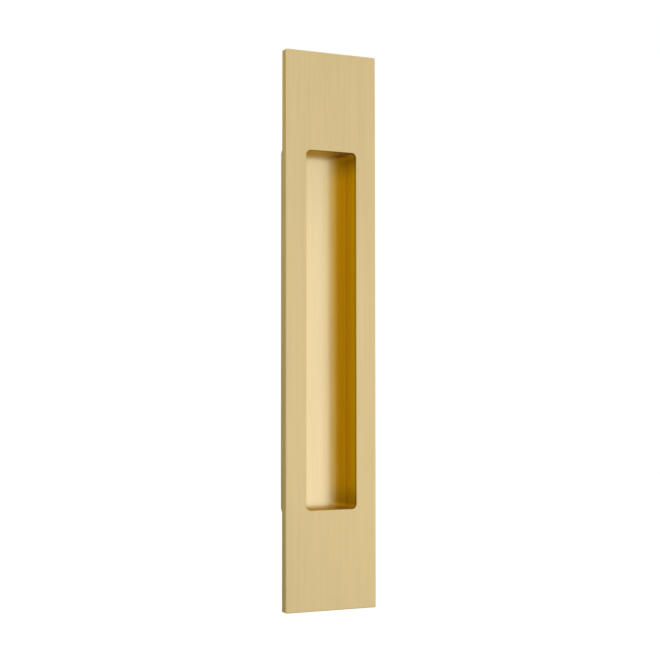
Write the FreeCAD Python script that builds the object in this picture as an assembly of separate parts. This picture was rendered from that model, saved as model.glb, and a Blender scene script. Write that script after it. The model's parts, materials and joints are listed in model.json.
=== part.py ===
import FreeCAD, Part
import math
import os

# Pocket door pull: a tall square-cornered brass plate with a finger recess milled into a housing behind it.
# The plate lies on the door's face and the housing drops into a routed mortise.
# Two tapped lugs on the back take the screws that come through the door, so none show in front.
#
# Frame: X across the plate, Z up its length, Y into the door.
# The origin is the plate's centre on the plane where its back meets the door.
# All sizes are in millimetres.

# Face plate
plate_length = 280.0
plate_width = 50.0
plate_thickness = 5.0
plate_corner_radius = 0.7

# Finger recess, measured at its mouth
recess_length = 180.0
recess_width = 28.0
recess_depth = 11.5
recess_corner_radius = 2.5

# Housing around the recess
housing_side_wall = 7.5
housing_end_wall = 4.0
housing_floor = 3.0
housing_corner_radius = 5.0

# Fixing lugs, each tapped for an M4 screw
lug_diameter = 10.0
lug_height = 6.0
tapped_hole_diameter = 3.3
tapped_hole_countersink = 0.6
tapped_hole_front_skin = 1.5
drill_point_angle = 118.0

# Edge finish
front_edge_round = 0.5
mouth_edge_round = 0.3
plate_rear_chamfer = 0.2
housing_rear_chamfer = 0.5
lug_rear_chamfer = 0.4

# Places that follow from the sizes above
front_face = -plate_thickness
recess_floor = front_face + recess_depth
housing_back = recess_floor + housing_floor
housing_width = recess_width + 2.0 * housing_side_wall
housing_length = recess_length + 2.0 * housing_end_wall
lug_offset = (housing_length + plate_length) / 4.0

INTO_DOOR = FreeCAD.Vector(0, 1, 0)


def edges_along_depth(solid):
    """The straight edges of a slab that run front to back."""
    nearly_parallel = 0.99
    return [
        edge
        for edge in solid.Edges
        if abs(edge.tangentAt(edge.FirstParameter).dot(INTO_DOOR)) > nearly_parallel
    ]


def edges_on_plane(solid, depth):
    """The edges of a solid that lie wholly in the plane at this depth."""
    tolerance = 1e-4
    return [
        edge
        for edge in solid.Edges
        if abs(edge.BoundBox.YMin - depth) < tolerance and abs(edge.BoundBox.YMax - depth) < tolerance
    ]


def rounded_slab(width, length, front, back, corner_radius):
    """A block centred on the origin in X and Z, whose four corners, seen from the front, are rounded."""
    corner = FreeCAD.Vector(-width / 2.0, front, -length / 2.0)
    block = Part.makeBox(width, back - front, length, corner)
    return block.makeFillet(corner_radius, edges_along_depth(block))


def face_plate():
    """The plate: crisp corners, front edges lightly rounded and rear edges just broken."""
    plate = rounded_slab(plate_width, plate_length, front_face, 0.0, plate_corner_radius)
    plate = plate.makeFillet(front_edge_round, edges_on_plane(plate, front_face))
    return plate.makeChamfer(plate_rear_chamfer, edges_on_plane(plate, 0.0))


def housing():
    """The block behind the plate that the recess is milled into, with its rear edge eased."""
    block = rounded_slab(housing_width, housing_length, 0.0, housing_back, housing_corner_radius)
    return block.makeChamfer(housing_rear_chamfer, edges_on_plane(block, housing_back))


def recess_cutter():
    """The space that the milling cutter clears, flat at the floor and rounded in its corners."""
    return rounded_slab(recess_width, recess_length, front_face, recess_floor, recess_corner_radius)


def lug(height_on_plate):
    """One round lug on the back of the plate, with its rear edge eased."""
    foot = FreeCAD.Vector(0, 0, height_on_plate)
    post = Part.makeCylinder(lug_diameter / 2.0, lug_height, foot, INTO_DOOR)
    return post.makeChamfer(lug_rear_chamfer, edges_on_plane(post, lug_height))


def tapped_hole(height_on_plate):
    """The blind hole in a lug: a countersunk mouth, a straight wall and the drill's point."""
    radius = tapped_hole_diameter / 2.0
    mouth_radius = radius + tapped_hole_countersink
    tip = front_face + tapped_hole_front_skin
    wall_end = tip + radius / math.tan(math.radians(drill_point_angle / 2.0))
    profile = [
        FreeCAD.Vector(0, tip, height_on_plate),
        FreeCAD.Vector(radius, wall_end, height_on_plate),
        FreeCAD.Vector(radius, lug_height - tapped_hole_countersink, height_on_plate),
        FreeCAD.Vector(mouth_radius, lug_height, height_on_plate),
        FreeCAD.Vector(0, lug_height, height_on_plate),
    ]
    section = Part.Face(Part.makePolygon(profile + profile[:1]))
    return section.revolve(FreeCAD.Vector(0, 0, height_on_plate), INTO_DOOR, 360.0)


def mouth_edges(body):
    """The edges where the recess opens through the front face."""
    half_width = recess_width / 2.0
    half_length = recess_length / 2.0
    return [
        edge
        for edge in edges_on_plane(body, front_face)
        if abs(edge.BoundBox.Center.x) <= half_width and abs(edge.BoundBox.Center.z) <= half_length
    ]


def pull_body():
    """The whole pull as one solid."""
    lug_heights = (-lug_offset, lug_offset)
    body = face_plate().fuse([housing()] + [lug(height) for height in lug_heights])
    body = body.cut([recess_cutter()] + [tapped_hole(height) for height in lug_heights])
    body = body.removeSplitter()
    return body.makeFillet(mouth_edge_round, mouth_edges(body)).Solids[0]


def main():
    os.makedirs("parts", exist_ok=True)
    pull_body().exportStep(os.path.join("parts", "pull_body.step"))


main()
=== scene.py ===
import json
import math

import bmesh
import bpy
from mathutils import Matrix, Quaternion, Vector


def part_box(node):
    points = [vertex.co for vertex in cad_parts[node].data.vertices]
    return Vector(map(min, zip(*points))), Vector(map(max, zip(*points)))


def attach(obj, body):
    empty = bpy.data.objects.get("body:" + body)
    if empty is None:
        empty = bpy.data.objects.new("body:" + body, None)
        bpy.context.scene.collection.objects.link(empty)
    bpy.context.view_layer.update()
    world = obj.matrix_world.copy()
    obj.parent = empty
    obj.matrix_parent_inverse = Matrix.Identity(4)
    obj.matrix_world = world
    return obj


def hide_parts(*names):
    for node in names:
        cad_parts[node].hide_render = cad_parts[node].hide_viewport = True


# Pocket door pull in brushed brass: one milled piece, in metres, in the frame's own axes.
# X runs across the plate, Z up its length and Y into the door.

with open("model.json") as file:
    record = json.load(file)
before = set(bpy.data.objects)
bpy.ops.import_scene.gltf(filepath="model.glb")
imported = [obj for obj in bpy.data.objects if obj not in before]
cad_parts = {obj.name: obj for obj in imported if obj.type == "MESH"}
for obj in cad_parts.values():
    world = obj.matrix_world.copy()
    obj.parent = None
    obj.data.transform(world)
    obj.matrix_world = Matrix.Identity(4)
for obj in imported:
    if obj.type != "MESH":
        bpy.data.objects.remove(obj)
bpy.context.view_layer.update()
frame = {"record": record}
body_low, body_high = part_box("pull_body")
lug_pattern = next(mount for mount in frame["record"]["mounts"] if mount["name"] == "fixing_lugs")["dims"]

# Sizes of the pull that the frame doesn't give directly
PLATE_CORNER = 0.0007
FRONT_ROUND = 0.0005
PLATE_REAR_CHAMFER = 0.0002
RECESS_WIDTH = 0.028
RECESS_LENGTH = 0.180
RECESS_DEPTH = 0.0115
RECESS_CORNER = 0.0025
MOUTH_ROUND = 0.00018
HOUSING_WIDTH = 0.043
HOUSING_LENGTH = 0.188
HOUSING_CORNER = 0.005
HOUSING_CHAMFER = 0.0005
LUG_DIAMETER = 0.010
LUG_HEIGHT = 0.006
LUG_CHAMFER = 0.0004
HOLE_COUNTERSINK = 0.0006
HOLE_TIP_SKIN = 0.0015
DRILL_POINT_ANGLE = math.radians(118)
THREAD_PITCH = 0.0007
THREAD_DEPTH = 0.00035

# Fineness of the mesh, the angle from which an edge is sharp, and how far from a plane still counts as on it
CORNER_STEPS = 12
ROUND_STEPS = 4
LUG_STEPS = 48
THREAD_STEPS_PER_TURN = 8
SHARP_ANGLE = math.radians(40)
ON_PLANE = 0.000001

# Places and sizes taken from the frame
MILLIMETRE = 0.001
PLATE_WIDTH = body_high.x - body_low.x
PLATE_LENGTH = body_high.z - body_low.z
FRONT = body_low.y
HOUSING_BACK = body_high.y
RECESS_FLOOR = FRONT + RECESS_DEPTH
LUG_OFFSET = lug_pattern["spacing_y_mm"] / 2 * MILLIMETRE
HOLE_RADIUS = lug_pattern["hole_r_mm"] * MILLIMETRE

# Places of the finishes in the list of materials
FACE, EDGE, SIDE, FLOOR, WALL, END, BACK = range(7)


# Shape of the pull

def outline(shape, inset, depth):
    """Points round a rectangle with rounded corners, drawn in by an inset, at one depth."""
    width, length, corner = shape
    radius = corner - inset
    points = []
    for quarter in range(4):
        start = quarter * math.pi / 2
        side_x = math.copysign(1, math.cos(start + math.pi / 4))
        side_z = math.copysign(1, math.sin(start + math.pi / 4))
        centre_x = side_x * (width / 2 - corner)
        centre_z = side_z * (length / 2 - corner)
        for step in range(CORNER_STEPS + 1):
            angle = start + step / CORNER_STEPS * math.pi / 2
            points.append((centre_x + radius * math.cos(angle), depth, centre_z + radius * math.sin(angle)))
    return points


def quarter_round():
    """Pairs (across, along) of a unit quarter circle, from its start to its end."""
    angles = [step / ROUND_STEPS * math.pi / 2 for step in range(ROUND_STEPS + 1)]
    return [(1 - math.cos(angle), 1 - math.sin(angle)) for angle in angles]


def sections():
    """The pull's outlines from the recess floor, out through its mouth, round the plate and to the back.
    Each is a shape, its inset, its depth and the finish of the band that leads on to the next one."""
    recess = (RECESS_WIDTH, RECESS_LENGTH, RECESS_CORNER)
    plate = (PLATE_WIDTH, PLATE_LENGTH, PLATE_CORNER)
    housing = (HOUSING_WIDTH, HOUSING_LENGTH, HOUSING_CORNER)
    listed = [(recess, 0.0, RECESS_FLOOR, WALL)]
    for across, along in quarter_round():
        listed.append((recess, -MOUTH_ROUND * across, FRONT + MOUTH_ROUND * along, FACE))
    for across, along in reversed(quarter_round()):
        finish = SIDE if along == 1 else EDGE
        listed.append((plate, FRONT_ROUND * across, FRONT + FRONT_ROUND * along, finish))
    listed.append((plate, 0.0, -PLATE_REAR_CHAMFER, BACK))
    listed.append((plate, PLATE_REAR_CHAMFER, 0.0, BACK))
    listed.append((housing, 0.0, 0.0, BACK))
    listed.append((housing, 0.0, HOUSING_BACK - HOUSING_CHAMFER, BACK))
    listed.append((housing, HOUSING_CHAMFER, HOUSING_BACK, BACK))
    return listed


def add_loop(bm, points):
    """New vertices at these points."""
    return [bm.verts.new(point) for point in points]


def bridge(bm, first, second, finish):
    """Quads between two loops of as many vertices."""
    count = len(first)
    for i in range(count):
        after = (i + 1) % count
        face = bm.faces.new((first[i], first[after], second[after], second[i]))
        face.material_index = finish


def cap(bm, loop, finish):
    """One flat face that closes a loop."""
    bm.faces.new(loop).material_index = finish


def ring(height, depth, radius_at):
    """Points round a lug's axis, each at the radius that is given for its share of the turn."""
    points = []
    for step in range(LUG_STEPS):
        share = step / LUG_STEPS
        angle = 2 * math.pi * share
        radius = radius_at(share)
        points.append((radius * math.cos(angle), depth, height + radius * math.sin(angle)))
    return points


def circle(height, depth, radius):
    """Points round a circle about a lug's axis."""
    return ring(height, depth, lambda share: radius)


def thread_radius(turns, fade):
    """The tapped wall's radius at a number of turns along its helix."""
    phase = turns % 1.0
    return HOLE_RADIUS + THREAD_DEPTH * fade * (1 - abs(2 * phase - 1))


def threaded_wall(height, start, end):
    """Rings down the tapped wall of a lug's hole. The thread fades in and out over one turn at each end."""
    levels = round((start - end) / THREAD_PITCH * THREAD_STEPS_PER_TURN)
    rings = []
    for level in range(levels + 1):
        depth = start + (end - start) * level / levels
        turns = depth / THREAD_PITCH
        fade = min(1.0, level / THREAD_STEPS_PER_TURN, (levels - level) / THREAD_STEPS_PER_TURN)
        rings.append(ring(height, depth, lambda share: thread_radius(turns - share, fade)))
    return rings


def add_lug(bm, height):
    """One lug with its countersunk, tapped and drilled hole. Returns the loop at its foot."""
    rim = LUG_DIAMETER / 2
    tip = FRONT + HOLE_TIP_SKIN
    wall_start = LUG_HEIGHT - HOLE_COUNTERSINK
    wall_end = tip + HOLE_RADIUS / math.tan(DRILL_POINT_ANGLE / 2)
    rings = [
        circle(height, 0.0, rim),
        circle(height, LUG_HEIGHT - LUG_CHAMFER, rim),
        circle(height, LUG_HEIGHT, rim - LUG_CHAMFER),
        circle(height, LUG_HEIGHT, HOLE_RADIUS + HOLE_COUNTERSINK),
    ]
    rings += threaded_wall(height, wall_start, wall_end)
    loops = [add_loop(bm, points) for points in rings]
    for first, second in zip(loops, loops[1:]):
        bridge(bm, first, second, BACK)
    point = bm.verts.new((0.0, tip, height))
    last = loops[-1]
    for i in range(LUG_STEPS):
        cap(bm, (last[i - 1], last[i], point), BACK)
    return loops[0]


def end_panel(bm, side):
    """The plate's flat back panel beyond one end of the housing."""
    for face in bm.faces:
        centre = face.calc_center_median()
        past_housing = side * centre.z > HOUSING_LENGTH / 2
        in_middle = abs(centre.x) < LUG_DIAMETER
        if past_housing and in_middle and all(abs(vertex.co.y) < ON_PLANE for vertex in face.verts):
            return face
    raise RuntimeError("the plate has no back panel beyond its housing")


def fit_lug(bm, side):
    """Opens the back panel at one end and joins it to a lug's foot."""
    panel = end_panel(bm, side)
    rim = list(panel.edges)
    bm.faces.remove(panel)
    foot = add_lug(bm, side * LUG_OFFSET)
    foot_edges = [bm.edges.get((foot[i - 1], foot[i])) for i in range(len(foot))]
    made = bmesh.ops.triangle_fill(bm, use_beauty=True, use_dissolve=False, edges=rim + foot_edges)
    for item in made["geom"]:
        if isinstance(item, bmesh.types.BMFace):
            item.material_index = BACK


def pull_mesh():
    """The whole pull as one closed mesh, with a finish for each of its faces."""
    bm = bmesh.new()
    listed = sections()
    loops = [add_loop(bm, outline(shape, inset, depth)) for shape, inset, depth, _ in listed]
    cap(bm, loops[0], FLOOR)
    for (_, _, _, finish), first, second in zip(listed, loops, loops[1:]):
        bridge(bm, first, second, finish)
    cap(bm, loops[-1], BACK)
    for side in (-1, 1):
        fit_lug(bm, side)
    bmesh.ops.recalc_face_normals(bm, faces=bm.faces)
    for face in bm.faces:
        face.smooth = True
        if face.material_index == WALL and abs(face.normal.z) > abs(face.normal.x):
            face.material_index = END
    mesh = bpy.data.meshes.new("brass_pull")
    bm.to_mesh(mesh)
    bm.free()
    mesh.set_sharp_from_angle(angle=SHARP_ANGLE)
    return mesh


# Brass

# Finishes of the brass, in the order of the list of materials.
# The grazing tint is how much of the light each channel keeps where it skims the surface.
# The lean is the angle, in degrees, by which the brush marks face towards +X.
FINISHES = {
    "brass_face": dict(
        colour=(0.675, 0.53, 0.268), grazing_tint=(1.0, 0.86, 0.55), contrast=0.022,
        roughness=0.40, roughness_spread=0.03, anisotropy=0.6, lean=0.0,
    ),
    "brass_edge": dict(
        colour=(0.72, 0.56, 0.29), grazing_tint=(1.0, 0.86, 0.55), contrast=0.02,
        roughness=0.30, roughness_spread=0.02, anisotropy=0.3, lean=0.0,
    ),
    "brass_side": dict(
        colour=(0.70, 0.535, 0.215), grazing_tint=(0.9, 0.7, 0.35), contrast=0.03,
        roughness=0.38, roughness_spread=0.03, anisotropy=0.5, lean=0.0,
    ),
    "brass_recess_floor": dict(
        colour=(0.722, 0.578, 0.329), grazing_tint=(1.0, 0.86, 0.55), contrast=0.02,
        roughness=0.24, roughness_spread=0.02, anisotropy=0.5, lean=7.5,
    ),
    # Painted reflection: the recess walls are deeper and yellower than the brass elsewhere, standing in for
    # light bounced about the recess.
    "brass_recess_wall": dict(
        colour=(0.93, 0.63, 0.02), grazing_tint=(0.5, 0.42, 0.08), contrast=0.04,
        roughness=0.45, roughness_spread=0.03, anisotropy=0.0, lean=0.0,
    ),
    # Painted reflection: the end walls are deeper and yellower than the brass elsewhere too.
    "brass_recess_end": dict(
        colour=(0.76, 0.53, 0.13), grazing_tint=(0.65, 0.58, 0.34), contrast=0.04,
        roughness=0.45, roughness_spread=0.03, anisotropy=0.0, lean=0.0,
    ),
    "brass_back": dict(
        colour=(0.62, 0.47, 0.23), grazing_tint=(1.0, 0.86, 0.55), contrast=0.03,
        roughness=0.40, roughness_spread=0.04, anisotropy=0.4, lean=0.0,
    ),
}

# Width and length of the brush marks and of the patches between them, and the depth of the finest marks
FINE_MARK = (0.00035, 0.025)
BROAD_MARK = (0.0018, 0.070)
PATCH = (0.012, 0.050)
PATCH_CONTRAST = 0.015
MARK_DEPTH = 0.0000008

# Finer layers in the marks, the share that each keeps of the one before, and the span of most noise values
MARK_LAYERS = 2.0
MARK_LAYER_SHARE = 0.6
NOISE_LOW = 0.3
NOISE_HIGH = 0.7

# Painted reflection: the recess floor's colour deepens towards its side walls, as it mirrors them.
# Start and end are distances from the middle of the floor.
FLOOR_PAINTED_REFLECTION = (0.65, 0.47, 0.17)
FLOOR_PAINTED_REFLECTION_START = 0.0070
FLOOR_PAINTED_REFLECTION_END = 0.0118

# Painted reflection: on the right, the side that its marks lean to, the floor deepens further, as it mirrors
# the right wall.
# These are distances from the middle of the floor too.
RIGHT_PAINTED_REFLECTION = (0.575, 0.393, 0.07)
RIGHT_PAINTED_REFLECTION_START = 0.0068
RIGHT_PAINTED_REFLECTION_END = 0.0102

# Painted light: the side walls turn lighter and yellower towards the mouth. Start and end are heights above
# the recess floor.
LIP_PAINTED_LIGHT = (0.92, 0.66, 0.03)
LIP_START = 0.0065
LIP_END = 0.0108

# Painted light: the side walls are lighter at their foot, up to this height above the recess floor.
WALL_FOOT_PAINTED_LIGHT = (1.0, 0.67, 0.04)
WALL_FOOT_RISE = 0.0030

# Painted shade: darker on the floor along the foot of the side walls, at the side walls' ends,
# along the side walls just inside the mouth, and on the end walls up to the mouth
FOOT_SHADE = 0.80
FOOT_WIDTH = 0.0007
WALL_END_SHADE = 0.68
WALL_END_REACH = 0.014
WALL_LINE_SHADE = 0.45
WALL_LINE_DEPTH = 0.0014
WALL_LINE_REACH = 0.0009
END_LIP_SHADE = 0.5
END_LIP_START = 0.0028
END_LIP_END = 0.0008


def principled(name):
    """A new material, its node tree and its shader."""
    material = bpy.data.materials.new(name)
    material.use_nodes = True
    tree = material.node_tree
    return material, tree, tree.nodes["Principled BSDF"]


def object_place(tree):
    """The place on the piece, in its own axes."""
    return tree.nodes.new("ShaderNodeTexCoord").outputs["Object"]


def along_axis(tree, place, axis):
    """One coordinate of a place."""
    parts = tree.nodes.new("ShaderNodeSeparateXYZ")
    tree.links.new(place, parts.inputs["Vector"])
    return parts.outputs[axis]


def multiply(tree, first, second):
    """The product of two values."""
    product = tree.nodes.new("ShaderNodeMath")
    product.operation = "MULTIPLY"
    tree.links.new(first, product.inputs[0])
    tree.links.new(second, product.inputs[1])
    return product.outputs[0]


def scale_and_add(tree, value, factor, added):
    """A value times a fixed factor, plus a fixed amount."""
    result = tree.nodes.new("ShaderNodeMath")
    result.operation = "MULTIPLY_ADD"
    result.inputs[1].default_value = factor
    result.inputs[2].default_value = added
    tree.links.new(value, result.inputs[0])
    return result.outputs[0]


def streaks(tree, place, width, length):
    """Noise drawn out along Z: brush marks of about this width and length."""
    mapping = tree.nodes.new("ShaderNodeMapping")
    mapping.inputs["Scale"].default_value = (1 / width, 1 / width, 1 / length)
    tree.links.new(place, mapping.inputs["Vector"])
    noise = tree.nodes.new("ShaderNodeTexNoise")
    noise.inputs["Scale"].default_value = 1.0
    noise.inputs["Detail"].default_value = MARK_LAYERS
    noise.inputs["Roughness"].default_value = MARK_LAYER_SHARE
    tree.links.new(mapping.outputs["Vector"], noise.inputs["Vector"])
    return noise.outputs["Fac"]


def spread_about(tree, value, middle, reach):
    """Noise values turned into a setting that varies by this reach to each side of its middle."""
    spread = tree.nodes.new("ShaderNodeMapRange")
    spread.inputs["From Min"].default_value = NOISE_LOW
    spread.inputs["From Max"].default_value = NOISE_HIGH
    spread.inputs["To Min"].default_value = middle - reach
    spread.inputs["To Max"].default_value = middle + reach
    tree.links.new(value, spread.inputs["Value"])
    return spread.outputs["Result"]


def mottled(tree, place, fine, colour, contrast):
    """A colour that varies with the fine marks, the broad marks and the patches."""
    broad = streaks(tree, place, *BROAD_MARK)
    patches = streaks(tree, place, *PATCH)
    tone = spread_about(tree, fine, 1.0, contrast)
    tone = multiply(tree, tone, spread_about(tree, broad, 1.0, contrast))
    tone = multiply(tree, tone, spread_about(tree, patches, 1.0, PATCH_CONTRAST))
    tint = tree.nodes.new("ShaderNodeVectorMath")
    tint.operation = "SCALE"
    tint.inputs[0].default_value = colour
    tree.links.new(tone, tint.inputs["Scale"])
    return tint.outputs["Vector"]


def brushed_relief(tree, place, fine, lean):
    """The surface's normal, with the fine marks in it and leant over towards +X."""
    slope = -math.tan(math.radians(lean))
    marks = tree.nodes.new("ShaderNodeMath")
    marks.operation = "MULTIPLY_ADD"
    marks.inputs[1].default_value = MARK_DEPTH
    tree.links.new(fine, marks.inputs[0])
    tree.links.new(scale_and_add(tree, along_axis(tree, place, "X"), slope, 0.0), marks.inputs[2])
    bump = tree.nodes.new("ShaderNodeBump")
    bump.inputs["Distance"].default_value = 1.0
    tree.links.new(marks.outputs[0], bump.inputs["Height"])
    return bump.outputs["Normal"]


def brush_direction(tree):
    """The tangent round the pull's length, which the brushed metal's sheen is drawn out along."""
    tangent = tree.nodes.new("ShaderNodeTangent")
    tangent.direction_type = "RADIAL"
    tangent.axis = "Z"
    return tangent.outputs["Tangent"]


def brushed_brass(name, colour, grazing_tint, contrast, roughness, roughness_spread, anisotropy, lean):
    """Brass brushed lengthwise: marks in its colour, its sheen and its surface."""
    material, tree, shader = principled(name)
    place = object_place(tree)
    fine = streaks(tree, place, *FINE_MARK)
    tree.links.new(mottled(tree, place, fine, colour, contrast), shader.inputs["Base Color"])
    tree.links.new(spread_about(tree, fine, roughness, roughness_spread), shader.inputs["Roughness"])
    tree.links.new(brushed_relief(tree, place, fine, lean), shader.inputs["Normal"])
    tree.links.new(brush_direction(tree), shader.inputs["Tangent"])
    shader.inputs["Metallic"].default_value = 1.0
    shader.inputs["Specular Tint"].default_value = (*grazing_tint, 1.0)
    shader.inputs["Anisotropic"].default_value = anisotropy
    return material


def ramp(tree, axis, plane, start, end):
    """A value that goes smoothly from nought to one between two distances from a plane across an axis."""
    offset = scale_and_add(tree, along_axis(tree, object_place(tree), axis), 1.0, -plane)
    away = tree.nodes.new("ShaderNodeMath")
    away.operation = "ABSOLUTE"
    tree.links.new(offset, away.inputs[0])
    rise = tree.nodes.new("ShaderNodeMapRange")
    rise.interpolation_type = "SMOOTHSTEP"
    rise.inputs["From Min"].default_value = start
    rise.inputs["From Max"].default_value = end
    tree.links.new(away.outputs[0], rise.inputs["Value"])
    return rise.outputs["Result"]


def blend(material, other, zone):
    """Mixes another colour into a finish, by the ramp that has these settings."""
    tree = material.node_tree
    colour = tree.nodes["Principled BSDF"].inputs["Base Color"]
    mix = tree.nodes.new("ShaderNodeMix")
    mix.data_type = "RGBA"
    mix.inputs["B"].default_value = (*other, 1.0)
    tree.links.new(colour.links[0].from_socket, mix.inputs["A"])
    tree.links.new(ramp(tree, *zone), mix.inputs["Factor"])
    tree.links.new(mix.outputs["Result"], colour)


def darken(material, shade, zone, second_zone=None):
    """Darkens a finish to this shade of its colour, by one ramp or by two of them together."""
    tree = material.node_tree
    colour = tree.nodes["Principled BSDF"].inputs["Base Color"]
    share = ramp(tree, *zone)
    if second_zone:
        share = multiply(tree, share, ramp(tree, *second_zone))
    dimmed = tree.nodes.new("ShaderNodeVectorMath")
    dimmed.operation = "SCALE"
    tree.links.new(colour.links[0].from_socket, dimmed.inputs[0])
    tree.links.new(scale_and_add(tree, share, shade - 1.0, 1.0), dimmed.inputs["Scale"])
    tree.links.new(dimmed.outputs["Vector"], colour)


def paint_recess_light_and_shade(floor, wall, end):
    """Paints reflections and light into the floor's and the side walls' colours, and paints shade at the
    foot, the walls' ends and the lip.
    """
    half_width = RECESS_WIDTH / 2
    half_length = RECESS_LENGTH / 2
    foot = ("X", 0.0, half_width - FOOT_WIDTH, half_width)
    corner = ("X", 0.0, half_width - RECESS_CORNER, half_width)
    wall_end = ("Z", 0.0, half_length - WALL_END_REACH, half_length - RECESS_CORNER)
    wall_line = ("Y", FRONT + WALL_LINE_DEPTH, WALL_LINE_REACH, 0.0)
    end_lip = ("Y", RECESS_FLOOR, RECESS_DEPTH - END_LIP_START, RECESS_DEPTH - END_LIP_END)
    # Painted reflections on the floor, painted light on the side walls
    blend(floor, FLOOR_PAINTED_REFLECTION, ("X", 0.0, FLOOR_PAINTED_REFLECTION_START, FLOOR_PAINTED_REFLECTION_END))
    blend(floor, RIGHT_PAINTED_REFLECTION, ("X", -half_width, half_width + RIGHT_PAINTED_REFLECTION_START, half_width + RIGHT_PAINTED_REFLECTION_END))
    blend(wall, LIP_PAINTED_LIGHT, ("Y", RECESS_FLOOR, LIP_START, LIP_END))
    blend(wall, WALL_FOOT_PAINTED_LIGHT, ("Y", RECESS_FLOOR, WALL_FOOT_RISE, 0.0))
    # Painted shade
    darken(floor, FOOT_SHADE, foot)
    darken(wall, WALL_END_SHADE, corner, wall_end)
    darken(wall, WALL_LINE_SHADE, wall_line)
    darken(end, END_LIP_SHADE, end_lip)


def add_pull():
    """The pull, standing for the CAD solid."""
    pull = bpy.data.objects.new("brass_pull", pull_mesh())
    bpy.context.scene.collection.objects.link(pull)
    brass = [brushed_brass(name, **finish) for name, finish in FINISHES.items()]
    paint_recess_light_and_shade(brass[FLOOR], brass[WALL], brass[END])
    for material in brass:
        pull.data.materials.append(material)
    flats = pull.modifiers.new("flat_faces_stay_flat", "WEIGHTED_NORMAL")
    flats.keep_sharp = True
    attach(pull, "root")
    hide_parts("pull_body")


# Studio

# Floor below the pull, and the fill that lights the whole scene
FLOOR_DROP = 0.45
FLOOR_SIZE = 14.0
FLOOR_COLOUR = (0.8, 0.8, 0.8, 1.0)
FLOOR_GLOW = 0.6
FILL = 0.7

# Plain colours of the studio
WHITE = (1.0, 1.0, 1.0, 1.0)
BLACK = (0.0, 0.0, 0.0, 1.0)

# Curved grey panels about the pull, for the brass to mirror.
# Start and end are azimuths in degrees from straight in front of the plate towards +X.
# The level is the panel's brightness at the pull's middle, and the gain what it adds for each metre up.
PANEL_DISTANCE = 1.5
PANEL_RISE = 1.3
PANEL_STEPS = 16
PANELS = {
    "panel_left": dict(start=-110.0, end=10.0, level=0.78, gain=0.3),
    "panel_behind_left": dict(start=-172.0, end=-136.0, level=0.31, gain=0.3),
}

# Grey board in front of the pull and below it, for the brass to mirror
TABLE_LEVEL = 0.5
TABLE_DROP = 0.40
TABLE_NEAR = -0.05
TABLE_FAR = -0.9
TABLE_REACH = 1.3

# Lamp to the right
SOFTBOX_AZIMUTH = 36.0
SOFTBOX_DISTANCE = 1.4
SOFTBOX_WIDTH = 1.0
SOFTBOX_HEIGHT = 0.7
SOFTBOX_DROP = 0.08
SOFTBOX_GLOW = 0.25


def direction(azimuth):
    """The level direction at this azimuth, in degrees from straight in front of the plate towards +X."""
    angle = math.radians(azimuth)
    return Vector((math.sin(angle), -math.cos(angle), 0.0))


def add_stage(name, points, faces, material):
    """A mesh that belongs to the studio."""
    mesh = bpy.data.meshes.new(name)
    mesh.from_pydata(points, [], faces)
    mesh.materials.append(material)
    piece = bpy.data.objects.new(name, mesh)
    bpy.context.scene.collection.objects.link(piece)
    return piece


def looked_at(tree):
    """One where the camera or the metal sees a surface, nought where it only lights others."""
    path = tree.nodes.new("ShaderNodeLightPath")
    total = path.outputs["Is Camera Ray"]
    for kind in ("Is Glossy Ray", "Is Transmission Ray"):
        add = tree.nodes.new("ShaderNodeMath")
        add.operation = "ADD"
        add.use_clamp = True
        tree.links.new(total, add.inputs[0])
        tree.links.new(path.outputs[kind], add.inputs[1])
        total = add.outputs[0]
    return total


def matt(name, colour):
    """A matt material in this colour that can glow white, its node tree and its shader."""
    material, tree, shader = principled(name)
    shader.inputs["Base Color"].default_value = colour
    shader.inputs["Roughness"].default_value = 1.0
    shader.inputs["Specular IOR Level"].default_value = 0.0
    shader.inputs["Emission Color"].default_value = WHITE
    return material, tree, shader


def floor_material():
    """Pale floor that looks white where nothing shades it, and is clear from below."""
    material, tree, shader = matt("studio_floor", FLOOR_COLOUR)
    glow = scale_and_add(tree, looked_at(tree), FLOOR_GLOW, 0.0)
    tree.links.new(glow, shader.inputs["Emission Strength"])
    clear = tree.nodes.new("ShaderNodeBsdfTransparent")
    side = tree.nodes.new("ShaderNodeNewGeometry")
    mix = tree.nodes.new("ShaderNodeMixShader")
    tree.links.new(side.outputs["Backfacing"], mix.inputs["Fac"])
    tree.links.new(shader.outputs["BSDF"], mix.inputs[1])
    tree.links.new(clear.outputs["BSDF"], mix.inputs[2])
    tree.links.new(mix.outputs["Shader"], tree.nodes["Material Output"].inputs["Surface"])
    return material


def add_floor():
    """The floor, well below the pull as it hangs on its door."""
    reach = FLOOR_SIZE / 2
    level = body_low.z - FLOOR_DROP
    points = [(-reach, -reach, level), (reach, -reach, level), (reach, reach, level), (-reach, reach, level)]
    add_stage("studio_floor", points, [(0, 1, 2, 3)], floor_material())


def only_mirrored(piece):
    """Leaves a stage piece in what the metal mirrors, and out of the picture and the floor's light."""
    piece.visible_camera = False
    piece.visible_diffuse = False
    piece.visible_shadow = False


def panel_material(name, level, gain):
    """A grey that glows at a level at the pull's middle, with a gain for each metre up."""
    material, tree, shader = matt(name, BLACK)
    glow = scale_and_add(tree, along_axis(tree, object_place(tree), "Z"), gain, level)
    tree.links.new(glow, shader.inputs["Emission Strength"])
    return material


def add_panel(name, start, end, level, gain):
    """A curved panel about the pull between two azimuths."""
    foot = body_low.z - FLOOR_DROP
    points = []
    for step in range(PANEL_STEPS + 1):
        spot = direction(start + (end - start) * step / PANEL_STEPS) * PANEL_DISTANCE
        points.append((spot.x, spot.y, foot))
        points.append((spot.x, spot.y, PANEL_RISE))
    faces = [(2 * step, 2 * step + 1, 2 * step + 3, 2 * step + 2) for step in range(PANEL_STEPS)]
    only_mirrored(add_stage(name, points, faces, panel_material(name, level, gain)))


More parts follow.
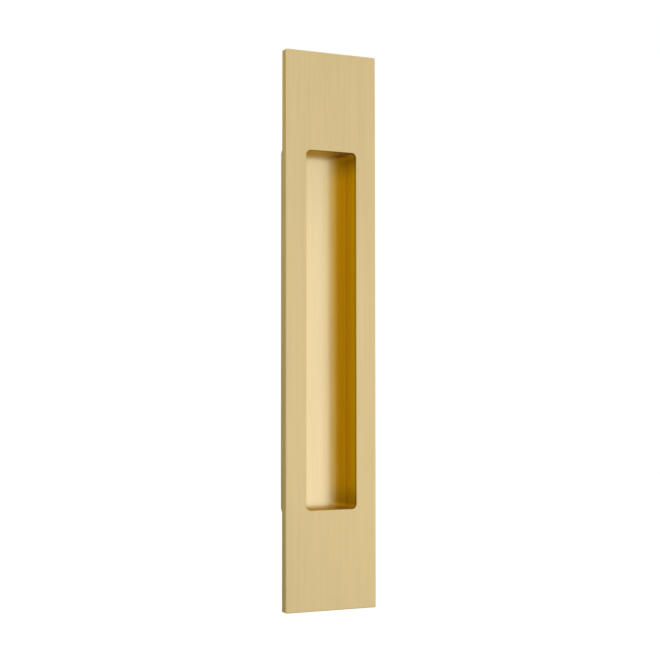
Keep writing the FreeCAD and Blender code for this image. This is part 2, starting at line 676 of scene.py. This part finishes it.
def add_table():
    """The board in front of the pull and below it."""
    level = body_low.z - TABLE_DROP
    points = [
        (-TABLE_REACH, TABLE_FAR, level),
        (TABLE_REACH, TABLE_FAR, level),
        (TABLE_REACH, TABLE_NEAR, level),
        (-TABLE_REACH, TABLE_NEAR, level),
    ]
    only_mirrored(add_stage("table", points, [(0, 1, 2, 3)], panel_material("table", TABLE_LEVEL, 0.0)))


def add_world():
    """Soft fill for the scene, and white wherever the camera or the metal looks past it."""
    world = bpy.data.worlds.new("studio")
    bpy.context.scene.world = world
    world.use_nodes = True
    tree = world.node_tree
    tree.nodes.clear()
    fill = tree.nodes.new("ShaderNodeBackground")
    fill.inputs["Strength"].default_value = FILL
    backdrop = tree.nodes.new("ShaderNodeBackground")
    backdrop.inputs["Color"].default_value = WHITE
    backdrop.inputs["Strength"].default_value = 1.0
    mix = tree.nodes.new("ShaderNodeMixShader")
    tree.links.new(looked_at(tree), mix.inputs["Fac"])
    tree.links.new(fill.outputs[0], mix.inputs[1])
    tree.links.new(backdrop.outputs[0], mix.inputs[2])
    output = tree.nodes.new("ShaderNodeOutputWorld")
    tree.links.new(mix.outputs[0], output.inputs["Surface"])


def add_softbox():
    """The large lamp to the right. Its glow is what it adds to what the metal mirrors."""
    data = bpy.data.lights.new("softbox", "AREA")
    data.shape = "RECTANGLE"
    data.size = SOFTBOX_WIDTH
    data.size_y = SOFTBOX_HEIGHT
    data.energy = SOFTBOX_GLOW * math.pi * SOFTBOX_WIDTH * SOFTBOX_HEIGHT
    lamp = bpy.data.objects.new("softbox", data)
    toward = direction(SOFTBOX_AZIMUTH)
    lamp.location = toward * SOFTBOX_DISTANCE - Vector((0, 0, SOFTBOX_DROP))
    lamp.rotation_mode = "QUATERNION"
    lamp.rotation_quaternion = (-toward).to_track_quat("-Z", "Y")
    bpy.context.scene.collection.objects.link(lamp)


def add_studio():
    """Floor, fill, softbox and the grey panels."""
    add_world()
    add_floor()
    add_softbox()
    add_table()
    for name, panel in PANELS.items():
        add_panel(name, **panel)


# Camera

# Angles in degrees, and places in metres: the distance from the point that the lens looks at,
# and how far that point lies to the right of the pull's middle and above it
CAMERA_YAW = 25.98
CAMERA_PITCH = 2.337
CAMERA_ROLL = -0.035
CAMERA_DISTANCE = 0.7416
CAMERA_ASIDE = 0.00142
CAMERA_RAISE = 0.00005

# Lens and film width in millimetres
LENS = 80.125
FILM_WIDTH = 36.0


def add_camera():
    """A long lens to the left of the pull and a little below its middle, tipped slightly up."""
    data = bpy.data.cameras.new("camera")
    data.sensor_fit = "HORIZONTAL"
    data.sensor_width = FILM_WIDTH
    data.lens = LENS
    camera = bpy.data.objects.new("camera", data)
    yaw = math.radians(CAMERA_YAW)
    pitch = math.radians(CAMERA_PITCH)
    forward = Vector((math.sin(yaw) * math.cos(pitch), math.cos(yaw) * math.cos(pitch), math.sin(pitch)))
    right = Vector((math.cos(yaw), -math.sin(yaw), 0.0))
    camera.location = right * CAMERA_ASIDE + Vector((0, 0, CAMERA_RAISE)) - forward * CAMERA_DISTANCE
    camera.rotation_mode = "QUATERNION"
    roll = Quaternion((0, 0, 1), math.radians(CAMERA_ROLL))
    camera.rotation_quaternion = forward.to_track_quat("-Z", "Y") @ roll
    bpy.context.scene.collection.objects.link(camera)
    bpy.context.scene.camera = camera


add_pull()
add_studio()
add_camera()
bpy.context.scene.view_settings.view_transform = "Standard"
